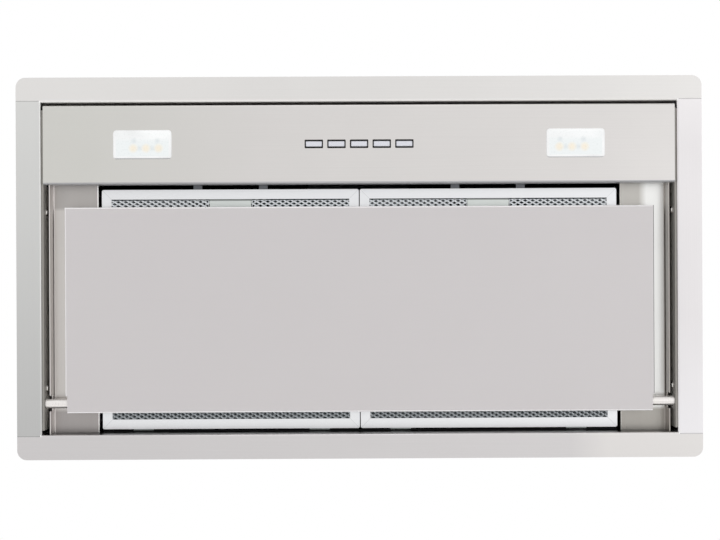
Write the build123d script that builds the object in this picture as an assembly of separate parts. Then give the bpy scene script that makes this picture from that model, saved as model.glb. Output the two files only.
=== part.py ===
from build123d import *
import os

# Built-in range hood, millimetres. Origin: centre of the opening, on the upper face of the flange,
# which bears on the cabinet's underside. +X is to the right, +Y to the wall, +Z up.

# Flange frame and body shell
flange_width = 700
flange_depth = 390
flange_strip = 25.5
flange_corner = 10
sheet = 1.0
bend = 1.0
body_height = 230
top_return = 14
seam = 0.15

# Screws that hold the body to the cabinet's sides
cabinet_hole_radius = 2.6
cabinet_hole_spacing = 200
cabinet_hole_height = 95

# Control strip
strip_depth = 80.5
strip_front_gap = 3
strip_front_fold = 20
strip_ledge = 12
strip_tab_height = 20
strip_tab_inset = 5

# Lamps
lamp_wall_gap = 103.5
lens_width = 59.5
lens_depth = 29.5
lens_thickness = 1.2
lens_plug = 4
lens_wall = 1.5
lens_clearance = 0.2
lamp_rim = 1.8
lamp_height = 22
lamp_wall = 1.5
lamp_board_thickness = 1.6
chip_size = 5
chip_height = 1
chip_pitch = 12.9
chip_setback = 2.3
chip_count = 3

# Push buttons
button_pitch = 23.1
button_width = 16.2
button_depth = 5.2
button_side_gap = 1.3
button_end_gap = 1.8
button_corner = 0.8
button_proud = 0.8
button_travel = 1.6
button_collar = 1.3
button_collar_height = 1.5
button_stem_radius = 2
button_stem_height = 2.5
button_fit = 0.2
button_edge = 0.6
carrier_depth = 22
carrier_end = 6
carrier_wall = 1.6
carrier_floor = 2.5
switch_size = 6
switch_height = 3.5
switch_gap = 0.2
button_board_thickness = 1.6

# Suction panel, its arms and pins
suction_gap = 23.5
panel_rear_gap = 22
panel_fold = 10
pin_inset = 9.5
pin_head_clearance = 0.3
pin_radius = 5
pin_end_gap = 0.4
pin_chamfer = 2
pin_head = 1.2
pin_head_height = 1.5
pin_run_clearance = 0.06
pin_fixed_clearance = 0.04
panel_notch = 2.2
panel_notch_reach = 8
arm_inset = 13
arm_sheet = 1.2
arm_leg = 12
arm_end_gap = 3
arm_ear = 3
striker_length = 26
catch_gap = 0.3
catch_width = 14
catch_length = 22
catch_pole = 1.5
catch_groove = 1

# Hinge rails on the side walls
rail_sheet = 2
rail_height = 31
rail_floor_gap = 0.2
rail_end_gap = 4.5
rail_corner = 4
rail_screw_strip_gap = 28
rail_screw_pin_gap = 15.5
rail_screw_height = 13
screw_radius = 2
screw_head_radius = 3.5
screw_head_height = 2.2
screw_clearance = 0.1

# Side plates beside the filters
recess = 25
plate_width = 48
plate_rail_gap = 4.5
plate_lip = 19
plate_rise = 14
plate_tab_width = 34
plate_tab_height = 20
plate_hook = 10
pin_notch_clearance = 3

# Grease filters
ledge_rise = 3
filter_front_gap = 4.5
filter_rear_gap = 2
filter_side_gap = 3.2
filter_split = 1
filter_height = 10
filter_sheet = 1
filter_lip = 10
filter_corner = 2
mesh_sheet = 0.8
mesh_clearance = 0.3
mesh_columns = 8
mesh_rows = 21
mesh_strand = 4.4
pack_margin = 1

# Filter latches
latch_travel = 6
handle_width = 43
handle_depth = 38
handle_gap = 0.8
handle_floor = 0.4
grip_width = 30
grip_depth = 17
grip_wall = 1.2
tongue_spread = 34
tongue_width = 9
tongue_height = 1.4
tongue_reach = 4.5
tongue_clearance = 0.3
latch_overlap = 4

# Lugs that carry the rear edge of the filters
lug_width = 21
lug_spread = 91.5
lug_thickness = 1.2
lug_reach = 5
lug_height = 6.5
lug_clearance = 0.3
lug_rail_height = 26

# Duct collar and damper
collar_y = 25
collar_radius = 74.5
collar_wall = 2
collar_height = 46
collar_flange = 18
collar_flange_height = 1.5
collar_bead = 0.8
collar_seat = 2.5
collar_seat_height = 17
collar_screw_count = 4
flap_thickness = 1.5
flap_gap = 0.9
flap_seat_gap = 0.3
flap_root = 3.4
flap_knuckle_radius = 3.5
flap_knuckle_clearance = 0.5
flap_knuckle = 40
flap_knuckle_gap = 0.6
damper_pin_radius = 2
damper_pin_clearance = 0.05
damper_pin_hold = 1.2

# Blower
blower_width = 110
blower_sheet = 0.8
blower_height = 145
scroll_radius = 70
scroll_step = 9
scroll_tongue = 6
scroll_flange = 9
wheel_radius = 58
wheel_width = 92
wheel_plate = 1.5
wheel_ring = 2
hub_radius = 11
hub_length = 26
blade_count = 36
blade_depth = 10
blade_thickness = 0.8
blade_sweep = 6
blade_curve = 12
ring_margin = 1
inlet_radius = 46
inlet_flare = 6

# Motor
motor_radius = 42
motor_length = 62
motor_chamfer = 6
motor_boss_radius = 12
motor_boss = 4
motor_standoff = 24
shaft_radius = 4
shaft_clearance = 0.05
shaft_engagement = 14
bracket_sheet = 1.5
bracket_arm = 14
bracket_foot = 11
bracket_arms = 3
bracket_margin = 2
capacitor_radius = 18
capacitor_height = 70
capacitor_motor_gap = 43.7
capacitor_chamfer = 3
terminal_height = 8
terminal_width = 6
terminal_thickness = 0.8

# Control box and cable gland
box_side_gap = 24.5
box_rear_gap = 44.5
box_width = 120
box_depth = 90
box_height = 36
box_wall = 2
lid_thickness = 1.5
lid_lip = 5
lid_clearance = 0.2
gland_radius = 8
gland_bore = 4.5
gland_hex = 11
gland_hex_height = 8
gland_dome_radius = 9.5
gland_dome_height = 9
gland_nut_height = 4
gland_tail = 6

# Places worked out from the driving dimensions
wall_x = flange_width / 2 - flange_strip
wall_y = flange_depth / 2 - flange_strip
flange_face = -sheet
shell_top = body_height - sheet
fold_line_x = wall_x + sheet + bend
fold_line_y = wall_y + sheet + bend
strip_front = strip_front_gap - wall_y
strip_rear = strip_front + strip_depth
strip_middle = (strip_front + strip_rear) / 2
strip_end = wall_x - rail_sheet
strip_back = flange_face + sheet
filter_floor = flange_face + recess
ledge_top = filter_floor + ledge_rise
lamp_offset = wall_x - lamp_wall_gap
lip_x = strip_end - plate_rail_gap
plate_inner = lip_x - plate_width
filter_outer = plate_inner - filter_side_gap
filter_width = filter_outer - filter_split / 2
filter_middle = (filter_outer + filter_split / 2) / 2
filter_front = strip_rear + filter_front_gap
filter_rear = wall_y - sheet - filter_rear_gap
filter_depth = filter_rear - filter_front
filter_y = (filter_front + filter_rear) / 2
filter_top = filter_floor + filter_height
mesh_floor = filter_floor + filter_sheet
mesh_top = mesh_floor + mesh_sheet
panel_half = wall_x - suction_gap
panel_front = strip_rear + suction_gap
panel_rear = wall_y - panel_rear_gap
panel_back = flange_face + sheet
panel_y = (panel_front + panel_rear) / 2
pin_y = panel_rear - pin_inset
pin_z = panel_back + arm_sheet + bend + pin_head_clearance + pin_head + pin_radius
arm_x = panel_half - arm_inset
arm_top = flange_face + panel_fold
rail_floor = flange_face + sheet + bend + rail_floor_gap
rail_screw_front = strip_rear + rail_screw_strip_gap
rail_screw_rear = pin_y - rail_screw_pin_gap
tongue_floor = ledge_top + tongue_clearance
tongue_top = tongue_floor + tongue_height
handle_front = filter_front + filter_lip + handle_gap
handle_rear = handle_front + handle_depth
lug_floor = filter_floor + lug_height
button_window_width = button_width + 2 * button_side_gap
button_window_depth = button_depth + 2 * button_end_gap
lamp_window_width = lens_width - 2 * lamp_rim
lamp_window_depth = lens_depth - 2 * lamp_rim
collar_bore = collar_radius - collar_wall
collar_seat_top = body_height + collar_seat_height
flap_floor = collar_seat_top + flap_seat_gap
damper_z = flap_floor + flap_thickness / 2
outlet_front = scroll_tongue - scroll_step / 2
outlet_rear = scroll_step / 2 + scroll_radius + 2 * scroll_step
blower_y = collar_y - (outlet_front + outlet_rear) / 2
cheek_face = blower_width / 2
cheek_back = cheek_face + blower_sheet
bracket_back = cheek_back + motor_standoff
motor_face = bracket_back + bracket_sheet
capacitor_x = motor_face + motor_length + capacitor_motor_gap + capacitor_radius
box_x = box_side_gap + box_width / 2 - wall_x
box_y = wall_y - box_rear_gap - box_depth / 2
sides = {"left": -1, "right": 1}

os.makedirs("parts", exist_ok=True)


def save(name, shape):
    export_step(shape, f"parts/{name}.step")


def block(x, y, z):
    """A box between two limits on each axis."""
    size = (x[1] - x[0], y[1] - y[0], z[1] - z[0])
    centre = ((x[0] + x[1]) / 2, (y[0] + y[1]) / 2, (z[0] + z[1]) / 2)
    return Pos(*centre) * Box(*size)


def rod(radius, start, end):
    """A straight round bar between two points."""
    path = Vector(*end) - Vector(*start)
    return extrude(Plane(origin=start, z_dir=path) * Circle(radius), path.length)


def rounded_slab(width, depth, radius, x, y, z):
    """A plate or block with rounded upright edges, centred on x and y, between two heights."""
    return extrude(Pos(x, y, z[0]) * RectangleRounded(width, depth, radius), z[1] - z[0])


def fold_profile(points, thickness, inside):
    """Outline of a folded sheet that follows the points, with its thickness on their left."""
    corners = [Vector(*point) for point in points]
    runs = [(end - start).normalized() for start, end in zip(corners, corners[1:])]
    lefts = [Vector(-run.Y, run.X) for run in runs]
    far = [corners[0] + lefts[0] * thickness]
    near_radii = []
    far_radii = []
    for i, corner in enumerate(corners[1:-1]):
        left, next_left = lefts[i], lefts[i + 1]
        far.append(corner + (left + next_left) * (thickness / (1 + left.dot(next_left))))
        turns_left = runs[i].cross(runs[i + 1]).Z > 0
        near_radii.append(inside + thickness * turns_left)
        far_radii.append(inside + thickness * (not turns_left))
    far.append(corners[-1] + lefts[-1] * thickness)
    near_edge = FilletPolyline(*corners, radius=near_radii)
    far_edge = FilletPolyline(*far, radius=far_radii)
    ends = [Line(near_edge @ 0, far_edge @ 0), Line(near_edge @ 1, far_edge @ 1)]
    return make_face([*near_edge.edges(), *far_edge.edges(), *ends])


def folded(points, plane, length, thickness=sheet, inside=bend):
    """A folded sheet whose profile runs along the plane's normal, centred on the plane."""
    return extrude(plane * fold_profile(points, thickness, inside), length / 2, both=True)


# Body shell: front and rear walls carry the full-width flange strips with the rounded corners
def front_wall():
    points = [
        (-flange_depth / 2, flange_face),
        (-wall_y, flange_face),
        (-wall_y, shell_top - sheet),
        (top_return - wall_y, shell_top - sheet),
    ]
    wall = folded(points, Plane.YZ, flange_width)
    outer_edges = wall.edges().filter_by(Axis.Z).group_by(Axis.Y)[0]
    wall = fillet(outer_edges, flange_corner)
    y = (-flange_depth / 2 - sheet, top_return - wall_y + sheet)
    inside = (-wall_y, y[1])
    for side in sides.values():
        past_body = sorted((side * (wall_x + sheet), side * flange_width))
        past_side_wall = sorted((side * (wall_x - seam), side * flange_width))
        wall -= block(past_body, y, (0, body_height))
        wall -= block(past_body, (-fold_line_y, 0), (flange_face - sheet, body_height))
        wall -= block(past_side_wall, inside, (shell_top - 2 * sheet - bend, body_height))
    return wall


# Side walls: flange strips that butt between the front and rear strips
def side_wall(side):
    points = [
        (-flange_width / 2, flange_face),
        (-wall_x, flange_face),
        (-wall_x, shell_top - sheet),
        (top_return - wall_x, shell_top - sheet),
    ]
    wall = folded(points, Plane.XZ, 2 * (fold_line_y - seam))
    inside = (-wall_x, top_return - wall_x + sheet)
    past_strip = (-fold_line_x, inside[1])
    for end in (-1, 1):
        corner = sorted((end * (wall_y - top_return - seam), end * wall_y))
        wall -= block(inside, corner, (shell_top - 2 * sheet - bend, body_height))
        past_wall = sorted((end * (wall_y - seam), end * flange_depth))
        wall -= block(past_strip, past_wall, (flange_face - sheet, body_height))
        hole = (-wall_x, end * cabinet_hole_spacing / 2, cabinet_hole_height)
        wall -= Pos(*hole) * Rot(0, 90, 0) * Cylinder(cabinet_hole_radius, 4 * sheet)
    for y in (rail_screw_front, rail_screw_rear):
        hole = (-wall_x, y, rail_screw_height)
        wall -= Pos(*hole) * Rot(0, 90, 0) * Cylinder(screw_radius + screw_clearance, 4 * sheet)
    return wall if side < 0 else mirror(wall, about=Plane.YZ)


def collar_screw_places():
    reach = collar_radius + collar_flange / 2
    start = 180 / collar_screw_count
    return Pos(0, collar_y, 0) * PolarLocations(reach, collar_screw_count, start)


def top_plate():
    width = 2 * (wall_x + sheet)
    depth = 2 * (wall_y + sheet)
    plate = rounded_slab(width, depth, bend + sheet, 0, 0, (shell_top, body_height))
    hole_height = 4 * sheet
    plate -= Pos(0, collar_y, body_height) * Cylinder(collar_bore, hole_height)
    plate -= Pos(box_x, box_y, body_height) * Cylinder(gland_radius + screw_clearance, hole_height)
    for place in collar_screw_places():
        plate -= place * Pos(0, 0, body_height) * Cylinder(screw_radius + screw_clearance, hole_height)
    return plate


front = front_wall()
save("front_wall", front)
save("rear_wall", mirror(front, about=Plane.XZ))
for name, side in sides.items():
    save(f"{name}_wall", side_wall(side))
save("top_plate", top_plate())


# Hinge rails: flat bars on the side walls that hold the pins and the ends of the control strip
def hinge_rail(side):
    front_end = strip_front + rail_end_gap
    rear_end = wall_y - rail_end_gap
    rail_top = rail_floor + rail_height
    rail = block((wall_x - rail_sheet, wall_x), (front_end, rear_end), (rail_floor, rail_top))
    rail = fillet(rail.edges().filter_by(Axis.X).group_by(Axis.Z)[-1], rail_corner)
    bores = [(pin_y, pin_z, pin_radius + pin_run_clearance)]
    for y in (rail_screw_front, rail_screw_rear):
        bores.append((y, rail_screw_height, screw_radius + screw_clearance))
    for y, z, radius in bores:
        rail -= rod(radius, (strip_end - sheet, y, z), (wall_x + sheet, y, z))
    return rail if side > 0 else mirror(rail, about=Plane.YZ)


def rail_screw(side, y):
    head_start = (side * strip_end, y, rail_screw_height)
    head_end = (side * (strip_end - screw_head_height), y, rail_screw_height)
    tail = (side * (wall_x + sheet), y, rail_screw_height)
    head = rod(screw_head_radius, head_start, head_end)
    return head + rod(screw_radius, head_start, tail)


rail_screws = []
for name, side in sides.items():
    save(f"{name}_hinge_rail", hinge_rail(side))
    rail_screws += [rail_screw(side, y) for y in (rail_screw_front, rail_screw_rear)]
save("rail_screws", Compound(rail_screws))


# Control strip: a folded channel with windows for the lamps and buttons
def button_places():
    return [(i - 2) * button_pitch for i in range(5)]


def control_strip():
    points = [
        (strip_front, strip_back + strip_front_fold),
        (strip_front, flange_face),
        (strip_rear, flange_face),
        (strip_rear, ledge_top),
        (strip_rear - strip_ledge, ledge_top),
    ]
    strip = folded(points, Plane.YZ, 2 * strip_end)
    tab_y = (strip_front + strip_tab_inset, strip_rear - strip_tab_inset)
    window_z = (flange_face - sheet, strip_back + sheet)
    for side in sides.values():
        tab_x = sorted((side * (strip_end - sheet), side * strip_end))
        strip += block(tab_x, tab_y, (flange_face, flange_face + strip_tab_height))
        window = (lamp_window_width, lamp_window_depth, lamp_rim)
        strip -= rounded_slab(*window, side * lamp_offset, strip_middle, window_z)
    for x in button_places():
        window = (button_window_width, button_window_depth, button_corner)
        strip -= rounded_slab(*window, x, strip_middle, window_z)
    return strip


save("control_strip", control_strip())


# Lamps: a lens with a hollow plug in the window, a housing on the strip's back and a board with three chips
def lamp_lens(x):
    rim_z = (flange_face - lens_thickness, flange_face)
    lens = rounded_slab(lens_width, lens_depth, 2 * lamp_rim, x, strip_middle, rim_z)
    lens = chamfer(lens.edges().group_by(Axis.Z)[0], lens_thickness / 2)
    plug_width = lamp_window_width - 2 * lens_clearance
    plug_depth = lamp_window_depth - 2 * lens_clearance
    plug_z = (flange_face, flange_face + lens_plug)
    hollow = (plug_width - 2 * lens_wall, plug_depth - 2 * lens_wall)
    lens += rounded_slab(plug_width, plug_depth, lamp_rim, x, strip_middle, plug_z)
    lens -= rounded_slab(*hollow, lens_clearance, x, strip_middle, plug_z)
    return lens


def lamp_housing(x):
    inner = (lens_width, lens_depth)
    outer = (lens_width + 2 * lamp_wall, lens_depth + 2 * lamp_wall)
    top = strip_back + lamp_height
    housing = rounded_slab(*outer, 2 * lamp_wall, x, strip_middle, (strip_back, top))
    housing -= rounded_slab(*inner, lamp_wall, x, strip_middle, (strip_back, top - lamp_wall))
    return housing


def lamp_board(x):
    top = strip_back + lamp_height - lamp_wall
    under = top - lamp_board_thickness
    size = (lens_width - 2 * lens_clearance, lens_depth - 2 * lens_clearance)
    board = rounded_slab(*size, lamp_wall, x, strip_middle, (under, top))
    for i in range(chip_count):
        chip_x = x + (i - (chip_count - 1) / 2) * chip_pitch
        chip = Pos(chip_x, strip_middle + chip_setback, under - chip_height / 2)
        board += chip * Box(chip_size, chip_size, chip_height)
    return board


for name, side in sides.items():
    save(f"{name}_lamp_lens", lamp_lens(side * lamp_offset))
    save(f"{name}_lamp_housing", lamp_housing(side * lamp_offset))
    save(f"{name}_lamp_board", lamp_board(side * lamp_offset))


# Push buttons: caps with a collar that rests on the carrier's floor, a stem and a switch above each
collar_floor = strip_back + carrier_floor + button_fit
collar_top = collar_floor + button_collar_height
stem_top = collar_top + button_stem_height
switch_floor = stem_top + button_travel + switch_gap
board_floor = switch_floor + switch_height


def push_button(x):
    cap = rounded_slab(
        button_width, button_depth, button_corner, x, strip_middle, (flange_face - button_proud, collar_floor)
    )
    cap = chamfer(cap.edges().group_by(Axis.Z)[0], button_edge)
    collar = (button_width + 2 * button_collar, button_depth + 2 * button_collar)
    cap += rounded_slab(*collar, button_corner, x, strip_middle, (collar_floor, collar_top))
    cap += rod(button_stem_radius, (x, strip_middle, collar_top), (x, strip_middle, stem_top))
    return cap


def button_carrier():
    width = 4 * button_pitch + button_width + 2 * (button_collar + carrier_end)
    outer = (width, carrier_depth)
    inner = (width - 2 * carrier_wall, carrier_depth - 2 * carrier_wall)
    carrier = rounded_slab(*outer, 2 * carrier_wall, 0, strip_middle, (strip_back, board_floor))
    hollow_z = (strip_back + carrier_floor, board_floor)
    carrier -= rounded_slab(*inner, carrier_wall, 0, strip_middle, hollow_z)
    guide = (button_width + 2 * button_fit, button_depth + 2 * button_fit)
    for x in button_places():
        carrier -= rounded_slab(*guide, button_corner, x, strip_middle, (flange_face, collar_top))
    return carrier


def button_board():
    width = 4 * button_pitch + button_width + 2 * (button_collar + carrier_end)
    z = (board_floor, board_floor + button_board_thickness)
    return rounded_slab(width, carrier_depth, 2 * carrier_wall, 0, strip_middle, z)


def tact_switch(x):
    z = (switch_floor, board_floor)
    half = switch_size / 2
    return block((x - half, x + half), (strip_middle - half, strip_middle + half), z)


button_names = ("light_button", "off_button", "low_button", "medium_button", "high_button")
for name, x in zip(button_names, button_places()):
    save(name, push_button(x))
save("button_carrier", button_carrier())
save("button_board", button_board())
save("tact_switches", Compound([tact_switch(x) for x in button_places()]))


# Side plates: shelves beside the filters with a lip towards the side wall, hooked on the strip's ledge
def side_plate(side):
    top = filter_floor + sheet
    points = [
        (lip_x, top - plate_lip),
        (lip_x, top),
        (plate_inner + sheet, top),
        (plate_inner + sheet, top + plate_rise),
    ]
    middle = (strip_rear + wall_y) / 2
    plate = Pos(0, middle, 0) * folded(points, Plane.XZ, wall_y - strip_rear)
    tab_middle = (lip_x + plate_inner) / 2
    tab_x = (tab_middle - plate_tab_width / 2, tab_middle + plate_tab_width / 2)
    plate += block(tab_x, (wall_y - sheet, wall_y), (filter_floor, top + plate_tab_height))
    plate += block(tab_x, (strip_rear, strip_rear + sheet), (filter_floor, ledge_top + sheet))
    hook_y = (strip_rear - plate_hook, strip_rear + sheet)
    plate += block(tab_x, hook_y, (ledge_top, ledge_top + sheet))
    half_notch = pin_radius + pin_notch_clearance
    notch_z = (top - plate_lip - sheet, pin_z + half_notch)
    notch_x = (lip_x - 2 * sheet, lip_x + sheet)
    plate -= block(notch_x, (pin_y - half_notch, pin_y + half_notch), notch_z)
    return plate if side > 0 else mirror(plate, about=Plane.YZ)


for name, side in sides.items():
    save(f"{name}_side_plate", side_plate(side))


# Rear filter rail: a strip on the rear wall with lugs that reach into the filters' frames
def lug_places():
    return [side * filter_middle + end * lug_spread for side in (-1, 1) for end in (-1, 1)]


def rear_filter_rail():
    z = (lug_floor - sheet, lug_floor - sheet + lug_rail_height)
    rail = block((-filter_outer, filter_outer), (wall_y - sheet, wall_y), z)
    lug_y = (filter_rear - filter_sheet - lug_reach, wall_y - sheet)
    for x in lug_places():
        lug_x = (x - lug_width / 2, x + lug_width / 2)
        rail += block(lug_x, lug_y, (lug_floor, lug_floor + lug_thickness))
    return rail


save("rear_filter_rail", rear_filter_rail())


# Grease filters: a channel frame round an expanded mesh and its pack, with a sliding latch at the front
def tongue_places(x):
    return [x - tongue_spread, x + tongue_spread]


def filter_space(x, inset, z):
    """The room inside a filter's outline, drawn in by the inset on all sides."""
    half = filter_width / 2 - inset
    return block((x - half, x + half), (filter_front + inset, filter_rear - inset), z)


def filter_frame(x):
    z = (filter_floor, filter_top)
    frame = rounded_slab(filter_width, filter_depth, filter_corner, x, filter_y, z)
    frame -= filter_space(x, filter_lip, z)
    frame -= filter_space(x, filter_sheet, (mesh_floor, filter_top - filter_sheet))
    half_tongue = tongue_width / 2 + tongue_clearance
    slot_z = (tongue_floor - tongue_clearance, tongue_top + tongue_clearance)
    for tongue_x in tongue_places(x):
        slot_x = (tongue_x - half_tongue, tongue_x + half_tongue)
        frame -= block(slot_x, (filter_front - filter_sheet, filter_front + filter_lip), slot_z)
    half_lug = lug_width / 2 + lug_clearance
    slot_z = (lug_floor - lug_clearance, lug_floor + lug_thickness + lug_clearance)
    for end in (-1, 1):
        lug_x = x + end * lug_spread
        slot_y = (filter_rear - filter_lip, filter_rear + filter_sheet)
        frame -= block((lug_x - half_lug, lug_x + half_lug), slot_y, slot_z)
    return frame


def handle_window(x):
    half = handle_width / 2 + handle_gap
    y = (filter_front + filter_sheet, handle_rear + latch_travel + handle_gap)
    return (x - half, x + half), y


def filter_mesh(x):
    inset = filter_sheet + mesh_clearance
    width = filter_width - 2 * inset
    depth = filter_depth - 2 * inset
    face = Pos(x, filter_y) * Rectangle(width, depth)
    pitch_x = (filter_width - 2 * filter_lip) / mesh_columns
    pitch_y = (filter_depth - 2 * filter_lip) / (mesh_rows + 1) * 2
    hole_x = pitch_x - mesh_strand
    hole_y = pitch_y - mesh_strand
    diamond = Polygon((hole_x / 2, 0), (0, hole_y / 2), (-hole_x / 2, 0), (0, -hole_y / 2))
    window_x, window_y = handle_window(x)
    holes = []
    for row in range(mesh_rows):
        y = filter_y + (row - (mesh_rows - 1) / 2) * pitch_y / 2
        columns = mesh_columns - row % 2
        for column in range(columns):
            centre_x = x + (column - (columns - 1) / 2) * pitch_x
            beside = centre_x + pitch_x / 2 < window_x[0] or centre_x - pitch_x / 2 > window_x[1]
            if beside or y - pitch_y / 2 > window_y[1]:
                holes.append(Pos(centre_x, y) * diamond)
    face -= holes
    mesh = extrude(Pos(0, 0, mesh_floor) * face, mesh_sheet)
    return mesh - block(window_x, window_y, (filter_floor, filter_top))


def filter_pack(x):
    inset = filter_sheet + pack_margin
    z = (mesh_top, filter_top - filter_sheet)
    half = filter_width / 2 - inset
    rear = filter_rear - filter_sheet - lug_reach - pack_margin
    pack = block((x - half, x + half), (filter_front + inset, rear), z)
    pack -= block(*handle_window(x), (filter_floor, filter_top))
    half_bar = tongue_spread + tongue_width / 2 + pack_margin
    bar_y = (filter_front, handle_front + latch_overlap + latch_travel + pack_margin)
    return pack - block((x - half_bar, x + half_bar), bar_y, (filter_floor, filter_top))


def filter_latch(x):
    half = handle_width / 2
    floor = filter_floor + handle_floor
    handle_y = (handle_front + handle_rear) / 2
    handle_z = (floor, tongue_top)
    latch = rounded_slab(handle_width, handle_depth, filter_corner, x, handle_y, handle_z)
    grip_y = handle_rear - grip_depth / 2 - 2 * filter_corner
    grip_z = (floor, tongue_top - grip_wall)
    latch -= rounded_slab(grip_width, grip_depth, 2 * filter_corner, x, grip_y, grip_z)
    half_bar = tongue_spread + tongue_width / 2
    bar_front = filter_front + filter_sheet + mesh_clearance
    bar_y = (bar_front, handle_front + latch_overlap)
    latch += block((x - half_bar, x + half_bar), bar_y, (tongue_floor, tongue_top))
    tip = strip_rear - tongue_reach
    for tongue_x in tongue_places(x):
        tongue = (tongue_x - tongue_width / 2, tongue_x + tongue_width / 2)
        latch += block(tongue, (tip, bar_y[1]), (tongue_floor, tongue_top))
    return latch


for name, side in sides.items():
    save(f"{name}_filter_frame", filter_frame(side * filter_middle))
    save(f"{name}_filter_mesh", filter_mesh(side * filter_middle))
    save(f"{name}_filter_pack", filter_pack(side * filter_middle))
    save(f"{name}_filter_latch", filter_latch(side * filter_middle))


# Suction panel: a shallow folded tray, its side folds stopping short of the pins
def suction_panel():
    width = 2 * panel_half
    depth = panel_rear - panel_front
    outer = Pos(0, panel_y, flange_face + panel_fold / 2) * Box(width, depth, panel_fold)
    outer = fillet(outer.edges().group_by(Axis.Z)[0], bend + sheet)
    inner_centre = Pos(0, panel_y, panel_back + panel_fold / 2)
    inner = inner_centre * Box(width - 2 * sheet, depth - 2 * sheet, panel_fold)
    panel = outer - fillet(inner.edges().group_by(Axis.Z)[0], bend)
    notch_y = (pin_y - panel_notch_reach, panel_rear + sheet)
    for side in sides.values():
        notch_x = sorted((side * (panel_half - panel_notch), side * (panel_half + sheet)))
        panel -= block(notch_x, notch_y, (flange_face - sheet, arm_top + sheet))
    return panel


# Panel arms: angles on the panel's back with an ear for the pin and a striker for the magnet catch
def panel_arm(side):
    front = panel_front + sheet + arm_end_gap
    rear = panel_rear - sheet - arm_end_gap
    points = [(arm_x - arm_leg, panel_back), (arm_x, panel_back), (arm_x, arm_top)]
    arm = Pos(0, (front + rear) / 2, 0) * folded(points, Plane.XZ, rear - front, arm_sheet)
    web_inner = arm_x - arm_sheet
    ear_radius = pin_radius + arm_ear
    ear = rod(ear_radius, (web_inner, pin_y, pin_z), (arm_x, pin_y, pin_z))
    above_panel = (panel_back + bend, pin_z + 2 * ear_radius)
    arm += ear & block((web_inner, arm_x), (front, rear), above_panel)
    striker_x = (arm_x - arm_leg, arm_x)
    arm += block(striker_x, (front, front + striker_length), (arm_top - arm_sheet, arm_top))
    bore_radius = pin_radius + pin_fixed_clearance
    arm -= rod(bore_radius, (web_inner - sheet, pin_y, pin_z), (arm_x + sheet, pin_y, pin_z))
    return arm if side > 0 else mirror(arm, about=Plane.YZ)


def pivot_pin(side):
    web_inner = arm_x - arm_sheet
    tip = wall_x - pin_end_gap
    pin = rod(pin_radius, (web_inner, pin_y, pin_z), (tip, pin_y, pin_z))
    pin = chamfer(pin.edges().group_by(Axis.X)[-1], pin_chamfer)
    head_end = (web_inner - pin_head_height, pin_y, pin_z)
    pin += rod(pin_radius + pin_head, (web_inner, pin_y, pin_z), head_end)
    return pin if side > 0 else mirror(pin, about=Plane.YZ)


# Magnet catches: blocks under the side plates with two pole plates that stand just over the strikers
def magnet_catch(side):
    middle_x = plate_inner + catch_width / 2
    front = panel_front + sheet + arm_end_gap + (striker_length - catch_length) / 2
    x = (middle_x - catch_width / 2, middle_x + catch_width / 2)
    y = (front, front + catch_length)
    catch = block(x, y, (arm_top + catch_gap, filter_floor))
    catch = chamfer(catch.edges().filter_by(Axis.Z), catch_pole / 2)
    groove_z = (arm_top, arm_top + catch_gap + catch_groove)
    for end in (-1, 1):
        groove_x = middle_x + end * catch_width / 4
        catch -= block((groove_x - catch_pole / 2, groove_x + catch_pole / 2), y, groove_z)
    return catch if side > 0 else mirror(catch, about=Plane.YZ)


save("suction_panel", suction_panel())
for name, side in sides.items():
    save(f"{name}_panel_arm", panel_arm(side))
    save(f"{name}_pivot_pin", pivot_pin(side))
    save(f"{name}_magnet_catch", magnet_catch(side))


# Duct collar: a spigot with a foot flange, a seat ring for the flaps and a bead near the top
def duct_collar():
    top = body_height + collar_height
    foot = collar_radius + collar_flange
    foot_top = body_height + collar_flange_height
    seat_bore = collar_bore - collar_seat
    seat_floor = collar_seat_top - collar_wall
    bead_floor = top - 4 * collar_bead
    outline = [
        (collar_bore, body_height),
        (foot, body_height),
        (foot, foot_top),
        (collar_radius, foot_top),
        (collar_radius, bead_floor),
        (collar_radius - collar_bead, top),
        (collar_bore, top),
        (collar_bore, collar_seat_top),
        (seat_bore, collar_seat_top),
        (seat_bore, seat_floor),
        (collar_bore, seat_floor - collar_seat),
    ]
    profile = Plane.XZ * make_face(Polyline(*outline, close=True))
    collar = Pos(0, collar_y, 0) * revolve(profile, Axis.Z)
    for place in collar_screw_places():
        hole = place * Pos(0, 0, body_height)
        collar -= hole * Cylinder(screw_radius + screw_clearance, 4 * collar_flange_height)
    hold = collar_bore + damper_pin_hold
    bore = damper_pin_radius + damper_pin_clearance
    return collar - rod(bore, (-hold, collar_y, damper_z), (hold, collar_y, damper_z))


def damper_pin():
    end = collar_bore + damper_pin_hold - damper_pin_clearance
    return rod(damper_pin_radius, (-end, collar_y, damper_z), (end, collar_y, damper_z))


# Damper flaps: half discs whose knuckles share the pin, the front one holding its ends
def damper_flap(front):
    side = -1 if front else 1
    radius = collar_bore - flap_gap
    flap = Cylinder(radius, flap_thickness)
    flap &= block((-radius, radius), sorted((side * flap_root, side * radius)), (-radius, radius))
    middle = (-flap_knuckle / 2, flap_knuckle / 2)
    right = (flap_knuckle / 2 + flap_knuckle_gap, 1.5 * flap_knuckle)
    left = (-right[1], -right[0])
    own = (left, right) if front else (middle,)
    others = (middle,) if front else (left, right)
    clear = flap_knuckle_radius + flap_knuckle_clearance
    for start, end in others:
        gap_x = (start - flap_knuckle_gap, end + flap_knuckle_gap)
        flap -= block(gap_x, (-clear, clear), (-radius, radius))
    for start, end in own:
        flap += rod(flap_knuckle_radius, (start, 0, 0), (end, 0, 0))
        web = sorted((0, side * clear))
        flap += block((start, end), web, (-flap_thickness / 2, flap_thickness / 2))
    flap -= rod(damper_pin_radius + damper_pin_clearance, (-radius, 0, 0), (radius, 0, 0))
    return Pos(0, collar_y, damper_z) * flap


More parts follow.
